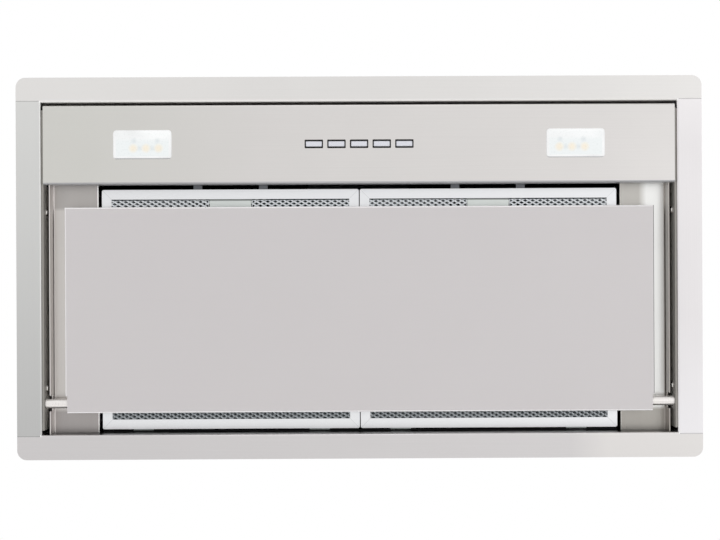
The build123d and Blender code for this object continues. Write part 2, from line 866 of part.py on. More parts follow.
def collar_screw(place):
    foot_top = body_height + collar_flange_height
    head = rod(screw_head_radius, (0, 0, foot_top), (0, 0, foot_top + screw_head_height))
    return place * (head + rod(screw_radius, (0, 0, shell_top), (0, 0, foot_top)))


save("duct_collar", duct_collar())
save("damper_pin", damper_pin())
save("front_damper_flap", damper_flap(True))
save("rear_damper_flap", damper_flap(False))
save("collar_screws", Compound([collar_screw(place) for place in collar_screw_places()]))


# Blower: a scroll of three quarter arcs that opens upwards at the rear into the collar
def scroll_edges(outset):
    """The scroll's run from the outlet's rear edge round to its front edge, moved outwards."""
    half = scroll_step / 2
    centres = [(half, half), (half, -half), (-half, -half)]
    top = shell_top - blower_height
    edges = [Line((outlet_rear + outset, top), (outlet_rear + outset, half))]
    for i, centre in enumerate(centres):
        radius = scroll_radius + (2 - i) * scroll_step + outset
        edges.append(CenterArc(centre, radius, -90 * i, -90))
    tongue = (-half, scroll_radius - half + scroll_tongue)
    edges.append(CenterArc(tongue, scroll_tongue - outset, -90, 90))
    edges.append(Line((outlet_front - outset, tongue[1]), (outlet_front - outset, top)))
    return edges


def on_blower(sketch, x=0):
    return Plane(origin=(x, blower_y, blower_height), x_dir=(0, 1, 0), z_dir=(1, 0, 0)) * sketch


def blower_wrapper():
    inner = scroll_edges(0)
    outer = scroll_edges(blower_sheet)
    ends = [Line(inner[0] @ 0, outer[0] @ 0), Line(inner[-1] @ 1, outer[-1] @ 1)]
    wrapper = extrude(on_blower(make_face([*inner, *outer, *ends])), cheek_face, both=True)
    flange_z = (shell_top - blower_sheet, shell_top)
    rear = blower_y + outlet_rear
    front = blower_y + outlet_front
    x = (-cheek_face, cheek_face)
    wrapper += block(x, (rear, rear + scroll_flange), flange_z)
    return wrapper + block(x, (front - scroll_flange, front), flange_z)


def blower_cheek(side):
    edges = scroll_edges(blower_sheet)
    outline = make_face([*edges, Line(edges[-1] @ 1, edges[0] @ 0)])
    mouth_radius = inlet_radius + inlet_flare
    cheek = extrude(on_blower(outline - Circle(mouth_radius), cheek_face), blower_sheet)
    flare = [
        (cheek_back, mouth_radius),
        (cheek_face, mouth_radius),
        (cheek_face - inlet_flare, inlet_radius),
        (cheek_back - inlet_flare, inlet_radius),
    ]
    lip = revolve(make_face(Polyline(*flare, close=True)), Axis.X)
    cheek += Pos(0, blower_y, blower_height) * lip
    return cheek if side > 0 else mirror(cheek, about=Plane.YZ)


# Impeller: forward-curved blades between two rings and a middle plate on a hub
def blade_outline():
    start = Vector(wheel_radius - blade_depth, 0)
    end = Vector(wheel_radius - blade_thickness, 0).rotate(Axis.Z, blade_sweep)
    concave = RadiusArc(start, end, -blade_curve)
    centre = concave.arc_center
    back = 1 + blade_thickness / blade_curve
    back_start = centre + (start - centre) * back
    back_end = centre + (end - centre) * back
    convex = RadiusArc(back_start, back_end, -blade_curve - blade_thickness)
    return make_face([concave, convex, Line(start, back_start), Line(end, back_end)])


def impeller():
    half = wheel_width / 2
    blade = blade_outline()
    blades = [Rot(0, 0, 360 * i / blade_count) * blade for i in range(blade_count)]
    ring = Circle(wheel_radius) - Circle(wheel_radius - blade_depth - ring_margin)
    wheel = extrude(on_blower(Sketch() + blades, -half), wheel_width)
    wheel += [
        extrude(on_blower(ring, -half), wheel_ring),
        extrude(on_blower(ring, half - wheel_ring), wheel_ring),
        extrude(on_blower(Circle(wheel_radius), -wheel_plate / 2), wheel_plate),
        extrude(on_blower(Circle(hub_radius), -hub_length / 2), hub_length),
    ]
    bore = Circle(shaft_radius + shaft_clearance)
    return wheel - extrude(on_blower(bore, -hub_length), 2 * hub_length)


def on_axis(x):
    return (x, blower_y, blower_height)


def motor_shaft():
    return rod(shaft_radius, on_axis(-hub_length / 2), on_axis(motor_face + shaft_engagement))


def motor():
    body = rod(motor_radius, on_axis(motor_face), on_axis(motor_face + motor_length))
    body = chamfer(body.edges(), motor_chamfer)
    body += rod(motor_boss_radius, on_axis(motor_face - motor_boss), on_axis(motor_face + motor_boss))
    end = motor_face + shaft_engagement + shaft_clearance
    return body - rod(shaft_radius + shaft_clearance, on_axis(motor_face - 2 * motor_boss), on_axis(end))


# Motor bracket: a ring on the motor's face with bent arms to the right cheek, clear of the inlet
def motor_bracket():
    foot_outer = inlet_radius + inlet_flare + bracket_foot
    ring_radius = motor_boss_radius + bracket_margin
    points = [
        (cheek_back, foot_outer - bracket_foot),
        (cheek_back, foot_outer),
        (motor_face, foot_outer),
        (motor_face, ring_radius + bracket_margin),
    ]
    profile = fold_profile(points[::-1], bracket_sheet, bend)
    arm = extrude(profile, bracket_arm / 2, both=True)
    disc = Circle(ring_radius + bracket_arm) - Circle(ring_radius)
    bracket = extrude(Plane(origin=(bracket_back, 0, 0), x_dir=(0, 1, 0), z_dir=(1, 0, 0)) * disc, bracket_sheet)
    for i in range(bracket_arms):
        bracket += Rot(360 * i / bracket_arms, 0, 0) * arm
    return Pos(0, blower_y, blower_height) * bracket


def capacitor():
    x, y = capacitor_x, collar_y
    floor = shell_top - capacitor_height
    can = rod(capacitor_radius, (x, y, floor), (x, y, shell_top))
    can = chamfer(can.edges().group_by(Axis.Z)[0], capacitor_chamfer)
    for end in (-1, 1):
        terminal_x = x + end * capacitor_radius / 2
        thick = (terminal_x - terminal_thickness / 2, terminal_x + terminal_thickness / 2)
        wide = (y - terminal_width / 2, y + terminal_width / 2)
        can += block(thick, wide, (floor - terminal_height, floor + capacitor_chamfer))
    return can


save("blower_wrapper", blower_wrapper())
for name, side in sides.items():
    save(f"blower_{name}_cheek", blower_cheek(side))
save("impeller", impeller())
save("motor_shaft", motor_shaft())
save("motor", motor())
save("motor_bracket", motor_bracket())
save("capacitor", capacitor())


# Control box under the top plate, closed from below, with the cable gland through both
def control_box():
    z = (shell_top - box_height, shell_top)
    box = rounded_slab(box_width, box_depth, 2 * box_wall, box_x, box_y, z)
    inner = (box_width - 2 * box_wall, box_depth - 2 * box_wall, box_wall)
    box -= rounded_slab(*inner, box_x, box_y, (z[0], shell_top - box_wall))
    hole = Pos(box_x, box_y, shell_top)
    return box - hole * Cylinder(gland_radius + screw_clearance, 4 * box_wall)


def control_box_lid():
    top = shell_top - box_height
    lid = rounded_slab(box_width, box_depth, 2 * box_wall, box_x, box_y, (top - lid_thickness, top))
    inset = 2 * (box_wall + lid_clearance)
    lip = (box_width - inset, box_depth - inset, box_wall)
    hollow = (box_width - inset - 2 * box_wall, box_depth - inset - 2 * box_wall, box_wall / 2)
    lip_z = (top, top + lid_lip)
    lid += rounded_slab(*lip, box_x, box_y, lip_z)
    return lid - rounded_slab(*hollow, box_x, box_y, lip_z)


def cable_gland():
    hex_top = body_height + gland_hex_height
    dome_top = hex_top + gland_dome_height
    nut_top = shell_top - box_wall
    tail = nut_top - gland_nut_height - gland_tail
    hexagon = RegularPolygon(gland_hex, 6, major_radius=False)
    gland = extrude(Pos(0, 0, body_height) * hexagon, gland_hex_height)
    dome = rod(gland_dome_radius, (0, 0, hex_top), (0, 0, dome_top))
    gland += chamfer(dome.edges().group_by(Axis.Z)[-1], gland_dome_radius - gland_radius)
    gland += rod(gland_radius, (0, 0, tail), (0, 0, body_height))
    gland += extrude(Pos(0, 0, nut_top - gland_nut_height) * hexagon, gland_nut_height)
    gland -= rod(gland_bore, (0, 0, tail), (0, 0, dome_top))
    return Pos(box_x, box_y, 0) * gland


save("control_box", control_box())
save("control_box_lid", control_box_lid())
save("cable_gland", cable_gland())
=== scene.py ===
import math

import bmesh
import bpy
from mathutils import Matrix, Vector


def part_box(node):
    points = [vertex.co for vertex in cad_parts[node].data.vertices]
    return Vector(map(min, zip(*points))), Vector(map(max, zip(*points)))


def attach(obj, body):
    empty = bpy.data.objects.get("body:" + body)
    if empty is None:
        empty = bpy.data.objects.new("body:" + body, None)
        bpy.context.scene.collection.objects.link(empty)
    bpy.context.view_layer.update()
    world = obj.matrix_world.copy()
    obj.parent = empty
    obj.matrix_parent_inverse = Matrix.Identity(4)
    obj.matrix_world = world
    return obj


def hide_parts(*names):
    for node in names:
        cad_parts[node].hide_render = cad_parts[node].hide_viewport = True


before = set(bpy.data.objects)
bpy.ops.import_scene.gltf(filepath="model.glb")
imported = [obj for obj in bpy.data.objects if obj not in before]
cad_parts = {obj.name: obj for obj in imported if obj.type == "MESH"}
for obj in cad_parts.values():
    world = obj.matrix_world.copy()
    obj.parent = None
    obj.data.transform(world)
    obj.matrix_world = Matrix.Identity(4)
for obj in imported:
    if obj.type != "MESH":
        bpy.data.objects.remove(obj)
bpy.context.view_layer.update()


# Flange frame: four folded walls of satin stainless sheet, brushed along each strip. The front and rear
# strips run full width with rounded corners, and the side strips butt between them at fine seams.
# The walls' different tones and their paler ends are painted light and shade. Inside, the front wall and
# its bend are dull, and the rear wall's dark inner face is a painted shade.
mm = 0.001


def display_colour(red, green, blue):
    """Linear colour for one that is written as it looks on a screen, 0 to 255."""
    def linear(value):
        share = value / 255
        return share / 12.92 if share <= 0.04045 else ((share + 0.055) / 1.055) ** 2.4
    return (linear(red), linear(green), linear(blue), 1)


def scaled(colour, factor):
    return (*(min(1, channel * factor) for channel in colour[:3]), 1)


def shader_of(material):
    """The node tree of a material and its main shader."""
    tree = material.node_tree
    return tree, tree.nodes["Principled BSDF"]


def new_finish(name):
    material = bpy.data.materials.new(name)
    material.use_nodes = True
    return material, *shader_of(material)


def add_node(tree, kind, values=None, **settings):
    node = tree.nodes.new(kind)
    for key, value in settings.items():
        setattr(node, key, value)
    for key, value in (values or {}).items():
        node.inputs[key].default_value = value
    return node


def object_place(tree):
    return add_node(tree, "ShaderNodeTexCoord").outputs["Object"]


def object_axes(tree):
    axes = add_node(tree, "ShaderNodeSeparateXYZ")
    tree.links.new(object_place(tree), axes.inputs["Vector"])
    return axes.outputs


def even(size):
    return (size, size, size)


def grain(tree, size, detail=3):
    """Noise whose marks measure about the given size along X, Y and Z."""
    stretch = add_node(tree, "ShaderNodeMapping", {"Scale": [1 / length for length in size]})
    noise = add_node(tree, "ShaderNodeTexNoise", {"Scale": 1, "Detail": detail, "Roughness": 0.6})
    tree.links.new(object_place(tree), stretch.inputs["Vector"])
    tree.links.new(stretch.outputs["Vector"], noise.inputs["Vector"])
    return noise.outputs["Fac"]


def spread(tree, value, low, high, start=0.3, end=0.7):
    """Maps a value between start and end to the span from low to high."""
    limits = {"From Min": start, "From Max": end, "To Min": low, "To Max": high}
    span = add_node(tree, "ShaderNodeMapRange", limits)
    tree.links.new(value, span.inputs["Value"])
    return span.outputs["Result"]


def rises(tree, value, start, end):
    """Share that grows from none at the start to all at the end."""
    return spread(tree, value, 0, 1, start, end)


def falls(tree, value, start, end):
    """Share that shrinks from all at the start to none at the end."""
    return spread(tree, value, 1, 0, start, end)


def combine(tree, operation, first, second=0):
    """Math on two values, each a socket or a number."""
    node = add_node(tree, "ShaderNodeMath", operation=operation)
    for socket, value in zip(node.inputs, (first, second)):
        if isinstance(value, (int, float)):
            socket.default_value = value
        else:
            tree.links.new(value, socket)
    return node.outputs["Value"]


def base_shades(tree, shader, pattern, dark, light, start=0.3, end=0.7):
    """Base colour between two shades, picked by a pattern."""
    ramp = add_node(tree, "ShaderNodeValToRGB")
    ramp.color_ramp.elements[0].position = start
    ramp.color_ramp.elements[0].color = dark
    ramp.color_ramp.elements[1].position = end
    ramp.color_ramp.elements[1].color = light
    tree.links.new(pattern, ramp.inputs["Fac"])
    tree.links.new(ramp.outputs["Color"], shader.inputs["Base Color"])


def tone_shades(tree, shader, pattern, tone, darker, paler, start=0.3, end=0.7):
    """Base colour that a pattern varies between a darker and a paler share of a tone."""
    base_shades(tree, shader, pattern, scaled(tone, darker), scaled(tone, paler), start, end)


def tint(tree, shader, share, colour):
    """Lays another colour over the base colour, by a share."""
    under_socket, over_socket, result_socket = 6, 7, 2
    mix = add_node(tree, "ShaderNodeMix", {over_socket: colour}, data_type="RGBA")
    tree.links.new(share, mix.inputs["Factor"])
    tree.links.new(shader.inputs["Base Color"].links[0].from_socket, mix.inputs[under_socket])
    tree.links.new(mix.outputs[result_socket], shader.inputs["Base Color"])


def relief(tree, shader, height, strength, distance):
    bump = add_node(tree, "ShaderNodeBump", {"Strength": strength, "Distance": distance})
    tree.links.new(height, bump.inputs["Height"])
    tree.links.new(bump.outputs["Normal"], shader.inputs["Normal"])


def brushed_steel(name, tone, marks, roughness, contrast, metallic=1):
    """Satin sheet: fine brush marks that vary its tone, gloss and surface, and wide faint clouds."""
    cloud_size = 90 * mm
    mark_gloss = 0.04
    cloud_gloss = 0.03
    material, tree, shader = new_finish(name)
    brush = grain(tree, marks)
    tone_shades(tree, shader, brush, tone, darker=1 - contrast, paler=1 + contrast)
    cloud = grain(tree, even(cloud_size), detail=2)
    fine = spread(tree, brush, -mark_gloss, mark_gloss)
    wide = spread(tree, cloud, roughness - cloud_gloss, roughness + cloud_gloss)
    tree.links.new(combine(tree, "ADD", fine, wide), shader.inputs["Roughness"])
    shader.inputs["Metallic"].default_value = metallic
    relief(tree, shader, brush, strength=0.03, distance=0.03 * mm)
    return material


def dress(material, *nodes):
    for node in nodes:
        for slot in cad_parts[node].material_slots:
            slot.material = material


brush_length = 120 * mm
brush_width = 0.7 * mm
along_x = (brush_length, brush_width, brush_width)
along_y = (brush_width, brush_length, brush_width)
flange_strip = 25.5 * mm
wall_sheet = 1 * mm
inner_skin = 0.3 * wall_sheet
outer_skin = 0.7 * wall_sheet
inner_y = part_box("rear_wall")[1].y - flange_strip
seam_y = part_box("left_wall")[1].y
seam_width = 0.9 * mm
seam_blend = 0.4 * mm
seam_depth = 0.5
bend_start = -seam_y - 0.5 * mm
bend_end = -seam_y - 0.2 * mm
dull_metallic = 0.3
left_reach = -280 * mm


def wall_steel(name, tone, marks):
    return brushed_steel(name, tone, marks, roughness=0.34, contrast=0.018)


def front_wall_steel(tone, left_painted_light):
    """Flange sheet that pales towards its left end, a painted light, dull on its inner face and along the
    bend.
    """
    fade_end = -50 * mm
    material = wall_steel("front_wall_steel", tone, along_x)
    tree, shader = shader_of(material)
    axes = object_axes(tree)
    inner_face = rises(tree, axes["Y"], -inner_y - outer_skin, -inner_y - inner_skin)
    past_strip = rises(tree, axes["Y"], bend_start, bend_end)
    low_down = falls(tree, axes["Z"], wall_sheet, 1.5 * wall_sheet)
    on_bend = combine(tree, "MULTIPLY", past_strip, low_down)
    dull = combine(tree, "MAXIMUM", inner_face, on_bend)
    tree.links.new(spread(tree, dull, 1, dull_metallic, 0, 1), shader.inputs["Metallic"])
    # Painted light: the sheet pales towards its left end.
    tint(tree, shader, falls(tree, axes["X"], left_reach, fade_end), left_painted_light)
    return material


def rear_wall_steel(tone, right_painted_light, inside_painted_shade):
    """Flange sheet whose strip pales at its right end, a painted light, and whose inner face above the
    bend is dark, a painted shade.
    """
    fade_start = 214 * mm
    fade_end = 252 * mm
    bend_top = 2 * mm
    dark_from = 5 * mm
    material = wall_steel("rear_wall_steel", tone, along_x)
    tree, shader = shader_of(material)
    axes = object_axes(tree)
    toward_right = rises(tree, axes["X"], fade_start, fade_end)
    on_strip = falls(tree, axes["Z"], wall_sheet, 2 * wall_sheet)
    # Painted light: the strip pales towards its right end.
    tint(tree, shader, combine(tree, "MULTIPLY", toward_right, on_strip), right_painted_light)
    inner_face = falls(tree, axes["Y"], inner_y + inner_skin, inner_y + outer_skin)
    above_bend = rises(tree, axes["Z"], bend_top, dark_from)
    # Painted shade: the inner face above the bend is dark.
    tint(tree, shader, combine(tree, "MULTIPLY", inner_face, above_bend), inside_painted_shade)
    return material


def side_wall_steel(name, tone, painted_end_lights):
    """Flange sheet with a seam at each end, and painted light that pales its ends. Each painted end light
    has the places where it starts and is full.
    """
    material = wall_steel(name, tone, along_y)
    tree, shader = shader_of(material)
    along = object_axes(tree)["Y"]
    for end_light_tone, start, full in painted_end_lights:
        # Painted light: each end of the wall pales.
        tint(tree, shader, rises(tree, along, start, full), end_light_tone)
    off_middle = combine(tree, "ABSOLUTE", along)
    seam_start = seam_y - seam_width
    at_seam = spread(tree, off_middle, 0, seam_depth, seam_start, seam_start + seam_blend)
    tint(tree, shader, at_seam, display_colour(128, 127, 126))
    return material


# Painted light and shade: the walls share one steel, but each gets its own tone, the left one darkest.
front_steel = front_wall_steel(display_colour(232, 230, 228), left_painted_light=display_colour(238, 236, 234))
dress(front_steel, "front_wall")
rear_steel = rear_wall_steel(display_colour(221, 218, 218), right_painted_light=display_colour(232, 229, 227),
                             inside_painted_shade=display_colour(46, 46, 47))
dress(rear_steel, "rear_wall")
# Painted light: the left wall pales towards its front end, the right wall towards both ends.
left_wall_lights = [(display_colour(228, 228, 226), seam_y, -seam_y)]
dress(side_wall_steel("left_wall_steel", display_colour(203, 203, 202), left_wall_lights), "left_wall")
rear_fade_start = 0.3 * seam_y
front_fade_start = -0.7 * seam_y
right_wall_lights = [
    (display_colour(243, 241, 243), rear_fade_start, seam_y),
    (display_colour(239, 236, 237), front_fade_start, -seam_y),
]
dress(side_wall_steel("right_wall_steel", display_colour(232, 229, 230), right_wall_lights), "right_wall")


# Top plate: galvanised sheet that closes the body, spot-welded to the walls' returns along its edges.
# The zinc shows as faint spangles of a few millimetres; the underside is near black, a painted shade.
def vary_roughness(tree, shader, pattern, low, high, start=0.3, end=0.7):
    tree.links.new(spread(tree, pattern, low, high, start, end), shader.inputs["Roughness"])


def galvanised_sheet(name, tone):
    """Zinc-coated sheet whose spangles differ in tone and gloss."""
    spangle_size = 9 * mm
    pit_size = 2 * mm
    material, tree, shader = new_finish(name)
    spangle = add_node(tree, "ShaderNodeTexVoronoi", {"Scale": 1 / spangle_size})
    tree.links.new(object_place(tree), spangle.inputs["Vector"])
    flake = add_node(tree, "ShaderNodeSeparateColor")
    tree.links.new(spangle.outputs["Color"], flake.inputs["Color"])
    tone_shades(tree, shader, flake.outputs["Red"], tone, darker=0.86, paler=1.1, start=0, end=1)
    vary_roughness(tree, shader, flake.outputs["Green"], low=0.34, high=0.5, start=0, end=1)
    shader.inputs["Metallic"].default_value = 0.9
    relief(tree, shader, grain(tree, even(pit_size)), strength=0.08, distance=0.1 * mm)
    return material


def new_object(name, mesh, material):
    """Turns a bmesh into an object with one material."""
    data = bpy.data.meshes.new(name)
    mesh.to_mesh(data)
    mesh.free()
    data.materials.append(material)
    made = bpy.data.objects.new(name, data)
    bpy.context.scene.collection.objects.link(made)
    return made


def new_piece(name, mesh, material, body):
    """A finished piece that moves with a body."""
    piece = new_object(name, mesh, material)
    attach(piece, body)
    return piece


zinc_tone = display_colour(190, 193, 196)
zinc = galvanised_sheet("galvanised_sheet", zinc_tone)
plate_low, plate_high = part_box("top_plate")
shade_full_below = plate_low.z + 0.2 * mm
zinc_from = plate_low.z + 0.5 * mm
top_sheet = galvanised_sheet("top_sheet", zinc_tone)
top_tree, top_shader = shader_of(top_sheet)
underside_painted_shade = falls(top_tree, object_axes(top_tree)["Z"], shade_full_below, zinc_from)
# Painted shade: the underside is darkened to near black.
tint(top_tree, top_shader, underside_painted_shade, display_colour(14, 14, 15))
dress(top_sheet, "top_plate")

weld_radius = 3.2 * mm
weld_crown_radius = 0.6 * weld_radius
weld_height = 0.25 * mm
weld_inset = 8 * mm
weld_shares = (0.06, 0.28, 0.5, 0.72, 0.94)
weld_places = []
for share in weld_shares:
    x = plate_low.x + share * (plate_high.x - plate_low.x)
    weld_places += [(x, plate_low.y + weld_inset), (x, plate_high.y - weld_inset)]
for share in weld_shares[1:-1]:
    y = plate_low.y + share * (plate_high.y - plate_low.y)
    weld_places += [(plate_low.x + weld_inset, y), (plate_high.x - weld_inset, y)]
welds = bmesh.new()
for x, y in weld_places:
    place = Matrix.Translation((x, y, plate_high.z + weld_height / 2))
    bmesh.ops.create_cone(welds, cap_ends=True, segments=20, radius1=weld_radius,
                          radius2=weld_crown_radius, depth=weld_height, matrix=place)
new_piece("spot_welds", welds, zinc, "hood")


# Duct collar and damper: black mouldings. The collar is screwed to the top plate, and its two half-round
# flaps turn on one steel pin and fall shut on a seat ring.
def moulded_plastic(name, tone, roughness, fleck=0.6 * mm):
    """Moulded surface with a fine even texture."""
    cloud_size = 40 * mm
    gloss = 0.06
    material, tree, shader = new_finish(name)
    texture = grain(tree, even(fleck), detail=2)
    cloud = grain(tree, even(cloud_size), detail=2)
    tone_shades(tree, shader, cloud, tone, darker=0.92, paler=1.06)
    vary_roughness(tree, shader, texture, roughness - gloss, roughness + gloss)
    relief(tree, shader, texture, strength=0.12, distance=0.08 * mm)
    return material


def bright_metal(name, tone, marks, roughness, metallic=1):
    """Clean metal with fine tool marks."""
    smoother = 0.04
    rougher = 0.05
    material, tree, shader = new_finish(name)
    tool = grain(tree, marks, detail=2)
    tone_shades(tree, shader, tool, tone, darker=0.94, paler=1.03)
    vary_roughness(tree, shader, tool, roughness - smoother, roughness + rougher)
    shader.inputs["Metallic"].default_value = metallic
    relief(tree, shader, tool, strength=0.04, distance=0.03 * mm)
    return material


turned_marks = (0.3 * mm, 6 * mm, 6 * mm)
black_plastic = moulded_plastic("black_moulding", display_colour(38, 38, 40), roughness=0.5)
bright_steel = bright_metal("bright_steel", display_colour(232, 229, 225), turned_marks, roughness=0.22)
dress(black_plastic, "duct_collar", "front_damper_flap", "rear_damper_flap")
dress(bright_steel, "damper_pin")


# Screws: zinc-plated pan heads with a cross recess. Four hold the collar's foot, and two on each side
# hold the hinge rails.
screw_head_radius = 3.5 * mm
screw_head_height = 2.2 * mm
screw_shank_radius = 2 * mm
recess_arm = 0.58 * screw_head_radius
recess_half_width = 0.14 * screw_head_radius
recess_depth = 0.45 * screw_head_height
crown_shares = ((0.7, 1), (0.92, 0.8), (1, 0.45), (1, 0))


def verts_in(geometry):
    return [item for item in geometry if isinstance(item, bmesh.types.BMVert)]


def edges_in(geometry):
    return [item for item in geometry if isinstance(item, bmesh.types.BMEdge)]


def edges_between(edges, verts):
    return [edge for edge in edges if all(vert in verts for vert in edge.verts)]


def pan_head_screw(mesh, shank_length, place):
    """A pan head with a cross recess and its shank, standing on the place's XY plane."""
    crown = [(share * screw_head_radius, level * screw_head_height) for share, level in crown_shares]
    shank = [(screw_shank_radius, 0), (screw_shank_radius, -shank_length)]
    last_radius, last_height = crown[0]
    head_top = Matrix.Translation((0, 0, last_height))
    start = len(mesh.verts)
    cross = []
    for quarter in range(4):
        turn = Matrix.Rotation(quarter * math.pi / 2, 4, "Z")
        corner = (recess_half_width, recess_half_width)
        for x, y in (corner, (recess_half_width, recess_arm), (-recess_half_width, recess_arm)):
            cross.append(mesh.verts.new(turn @ Vector((x, y, last_height))))
    edges = [mesh.edges.new((cross[i - 1], cross[i])) for i in range(len(cross))]
    cut = bmesh.ops.subdivide_edges(mesh, edges=edges, cuts=1)
    rim = list(dict.fromkeys(edges + edges_in(cut["geom"])))
    ring = bmesh.ops.create_circle(mesh, segments=24, radius=last_radius, matrix=head_top)
    loop = list(dict.fromkeys(edge for vert in ring["verts"] for edge in vert.link_edges))
    bmesh.ops.bridge_loops(mesh, edges=rim + loop)
    sink = bmesh.ops.extrude_edge_only(mesh, edges=rim)["geom"]
    sunk = verts_in(sink)
    bmesh.ops.translate(mesh, verts=sunk, vec=(0, 0, -recess_depth))
    bmesh.ops.contextual_create(mesh, geom=edges_between(edges_in(sink), sunk))
    for next_radius, next_height in crown[1:] + shank:
        grown = bmesh.ops.extrude_edge_only(mesh, edges=loop)["geom"]
        verts = verts_in(grown)
        loop = edges_between(edges_in(grown), verts)
        size = next_radius / last_radius
        bmesh.ops.scale(mesh, verts=verts, vec=(size, size, 1))
        bmesh.ops.translate(mesh, verts=verts, vec=(0, 0, next_height - last_height))
        last_radius, last_height = next_radius, next_height
    bmesh.ops.contextual_create(mesh, geom=loop)
    mesh.verts.ensure_lookup_table()
    bmesh.ops.transform(mesh, matrix=place, verts=mesh.verts[start:])


def screw_group(name, node, shank_length, places):
    mesh = bmesh.new()
    for place in places:
        pan_head_screw(mesh, shank_length, place)
    bmesh.ops.recalc_face_normals(mesh, faces=mesh.faces)
    piece = new_piece(name, mesh, bright_steel, "hood")
    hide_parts(node)


screw_low, screw_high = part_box("collar_screws")
head_floor = screw_high.z - screw_head_height
collar_places = [
    Matrix.Translation((x, y, head_floor))
    for x in (screw_low.x + screw_head_radius, screw_high.x - screw_head_radius)
    for y in (screw_low.y + screw_head_radius, screw_high.y - screw_head_radius)
]
screw_group("collar_pan_heads", "collar_screws", head_floor - screw_low.z, collar_places)


# Blower: a galvanised scroll with a moulded wheel on the motor's shaft. An enamelled motor hangs on a bent
# bracket at the right cheek, with its white capacitor beside it.
grey_plastic = moulded_plastic("grey_moulding", display_colour(70, 72, 74), roughness=0.45)
enamel = moulded_plastic("motor_enamel", display_colour(52, 53, 56), roughness=0.38, fleck=1.2 * mm)
can_plastic = moulded_plastic("capacitor_can", display_colour(222, 221, 216), roughness=0.4)
dress(zinc, "blower_wrapper", "blower_left_cheek", "blower_right_cheek", "motor_bracket")
dress(grey_plastic, "impeller")
dress(bright_steel, "motor_shaft")
dress(enamel, "motor")
dress(can_plastic, "capacitor")


# Control box and cable gland: black mouldings. The box sits under the top plate and has a lid below, and
# the gland goes through plate and box, for the supply cable.
box_plastic = moulded_plastic("dull_black_moulding", display_colour(16, 16, 17), roughness=0.7)
box_shader = shader_of(box_plastic)[1]
box_shader.inputs["Specular IOR Level"].default_value = 0.1
dress(box_plastic, "control_box", "control_box_lid")
dress(black_plastic, "cable_gland")


# Hinge rails: mill-finish bars on the side walls that carry the panel's pins, each held by two screws.
# They keep a darker tone along the lower edge and are paler above, a painted light.
rail_light_start = 5 * mm
rail_light_full = 15 * mm
rail_tone = display_colour(152, 149, 144)
rail_steel = brushed_steel("rail_steel", rail_tone, along_y, roughness=0.55, contrast=0.03, metallic=0.25)
rail_tree, rail_shader = shader_of(rail_steel)
upper_painted_light = rises(rail_tree, object_axes(rail_tree)["Z"], rail_light_start, rail_light_full)
# Painted light: the upper part of the rails is paler.
tint(rail_tree, rail_shader, upper_painted_light, display_colour(246, 243, 238))
dress(rail_steel, "left_hinge_rail", "right_hinge_rail")

screw_low, screw_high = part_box("rail_screws")
rail_inner = {-1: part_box("left_hinge_rail")[1].x, 1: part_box("right_hinge_rail")[0].x}
rail_places = []
for side, inner in rail_inner.items():
    face_inwards = Matrix.Rotation(-side * math.pi / 2, 4, "Y")
    for y in (screw_low.y + screw_head_radius, screw_high.y - screw_head_radius):
        on_rail = Matrix.Translation((inner, y, (screw_low.z + screw_high.z) / 2))
        rail_places.append(on_rail @ face_inwards)
screw_group("rail_pan_heads", "rail_screws", screw_high.x - rail_inner[1], rail_places)


# Control strip: satin stainless channel between the rails, with windows for two lamps and five buttons.
# It darkens a little towards its left end, a painted shade, and its rear fold is duller metal with a
# darker grey tint, also a painted shade.
filter_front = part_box("left_filter_frame")[0].y
filter_front_gap = 4.5 * mm
fold_line = filter_front - filter_front_gap
fold_width = 1.6 * mm
fold_start = fold_line - fold_width
fold_blend = 0.5 * mm
dull_from = fold_line - 0.2 * mm
strip_fade_end = -100 * mm
strip_tone = display_colour(226, 223, 221)
strip_steel = brushed_steel("strip_steel", strip_tone, along_x, roughness=0.36, contrast=0.018)
strip_tree, strip_shader = shader_of(strip_steel)
strip_axes = object_axes(strip_tree)
toward_left = falls(strip_tree, strip_axes["X"], left_reach, strip_fade_end)
# Painted shade: the strip darkens towards its left end.
tint(strip_tree, strip_shader, toward_left, display_colour(220, 219, 214))
on_fold = rises(strip_tree, strip_axes["Y"], fold_start - fold_blend, fold_start)
# Painted shade: from the rear fold back the strip is tinted a darker grey.
tint(strip_tree, strip_shader, on_fold, display_colour(186, 186, 188))
fold_metal = spread(strip_tree, strip_axes["Y"], 1, dull_metallic, fold_line - fold_blend, dull_from)
strip_tree.links.new(fold_metal, strip_shader.inputs["Metallic"])
dress(strip_steel, "control_strip")


# Lamps: a milky lens plugged into each window, a white housing behind it and a white board with three
# warm-white chips. The chips show through the lens as faint yellow spots, solder and clips as grey ones,
# and a shadow is painted along the lens' rear edge.
def lamp_board_finish(name, board_under):
    """White board with a fine speckle, and yellow chips that stand below its underside."""
    chip_edge = 0.2 * mm
    speckle_size = 0.8 * mm
    material, tree, shader = new_finish(name)
    below_board = object_axes(tree)["Z"]
    on_chip = falls(tree, below_board, board_under - 2 * chip_edge, board_under - chip_edge)
    speckle = grain(tree, even(speckle_size))
    base_shades(tree, shader, speckle, display_colour(226, 228, 224), display_colour(236, 237, 233))
    tint(tree, shader, on_chip, display_colour(241, 214, 135))
    vary_roughness(tree, shader, speckle, low=0.36, high=0.44)
    return material


def from_edges(tree, low, high):
    """Distances from the nearer side and from the nearer end of a box, seen from below."""
    axes = object_axes(tree)
    distances = []
    for axis in (0, 1):
        off_middle = combine(tree, "SUBTRACT", axes[axis], (low[axis] + high[axis]) / 2)
        out = combine(tree, "ABSOLUTE", off_middle)
        distances.append(combine(tree, "SUBTRACT", (high[axis] - low[axis]) / 2, out))
    return distances


def distance_from(tree, point):
    away = add_node(tree, "ShaderNodeVectorMath", {1: point}, operation="DISTANCE")
    tree.links.new(object_place(tree), away.inputs[0])
    return away.outputs["Value"]


def soft_spots(tree, points, strength, core, reach):
    """Share that is strongest within a core round each point and fades out to a reach."""
    strongest = 0
    for point in points:
        spot = spread(tree, distance_from(tree, point), strength, 0, core, reach)
        strongest = combine(tree, "MAXIMUM", spot, strongest)
    return strongest


